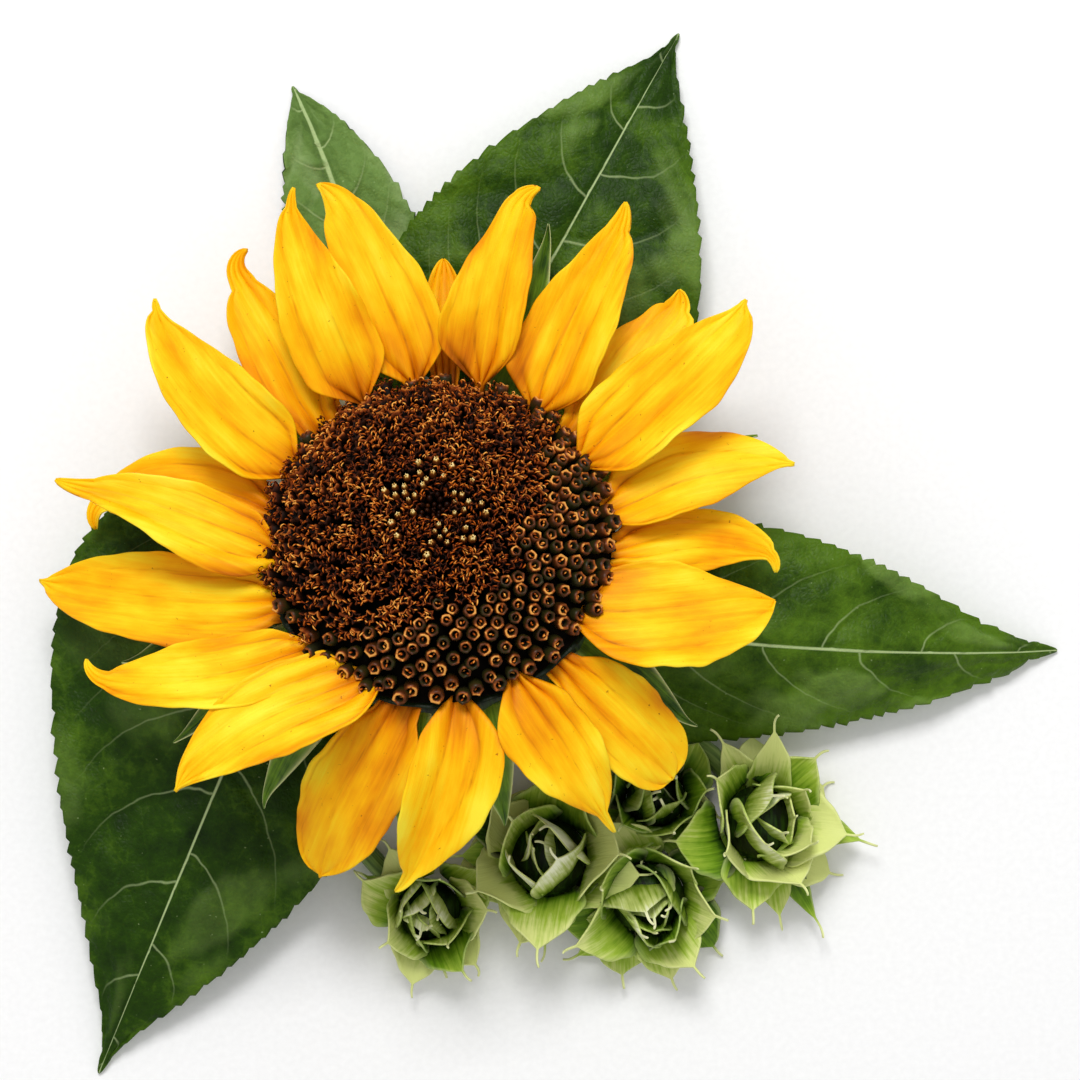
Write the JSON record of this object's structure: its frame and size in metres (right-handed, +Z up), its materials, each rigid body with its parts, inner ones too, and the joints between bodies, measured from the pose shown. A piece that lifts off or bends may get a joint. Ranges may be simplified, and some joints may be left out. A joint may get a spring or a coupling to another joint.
{
  "type": "cut sunflower",
  "caption": "Cut sunflower head lying on its short stem, with yellow ray petals, a domed brown disc, green leaves and closed side buds.",
  "frame": {"origin": "centre of the bounding box at the surface that the flower lies on", "axes": "+Z up and out of the surface, in the way the open flower looks; +Y towards the two upper leaves; +X towards the right-hand leaf"},
  "size_m": [0.1818, 0.1875, 0.0489],
  "materials": {
    "petal": "soft satin, bright yellow with orange bases",
    "disc": "matt, dark brown with orange-brown florets",
    "bract": "matt, hairy green",
    "leaf": "satin, dark green above and pale below",
    "bud": "matt, light green",
    "stem": "matt, hairy green"
  },
  "bodies": {
    "root": {"stem": "stem", "receptacle": "bract", "disc_florets": "disc", "ray_01": "petal", "ray_02": "petal", "ray_03": "petal", "ray_04": "petal", "ray_05": "petal", "ray_06": "petal", "ray_07": "petal", "ray_08": "petal", "ray_09": "petal", "ray_10": "petal", "ray_11": "petal", "ray_12": "petal", "ray_13": "petal", "ray_14": "petal", "ray_15": "petal", "ray_16": "petal", "ray_17": "petal", "ray_18": "petal", "ray_19": "petal", "ray_20": "petal", "ray_21": "petal", "bract_01": "bract", "bract_02": "bract", "bract_03": "bract", "bract_04": "bract", "bract_05": "bract", "bract_06": "bract", "bract_07": "bract", "bract_08": "bract", "bract_09": "bract", "bract_10": "bract", "bract_11": "bract", "bract_12": "bract", "bract_13": "bract", "bract_14": "bract", "leaf_01": "leaf", "leaf_02": "leaf", "leaf_03": "leaf", "leaf_04": "leaf", "bud_1": "bud", "bud_2": "bud", "bud_3": "bud", "bud_4": "bud", "bud_5": "bud", "shoot_1": "stem", "shoot_2": "stem", "shoot_3": "stem", "shoot_4": "stem", "shoot_5": "stem"}
  },
  "joints": []
}
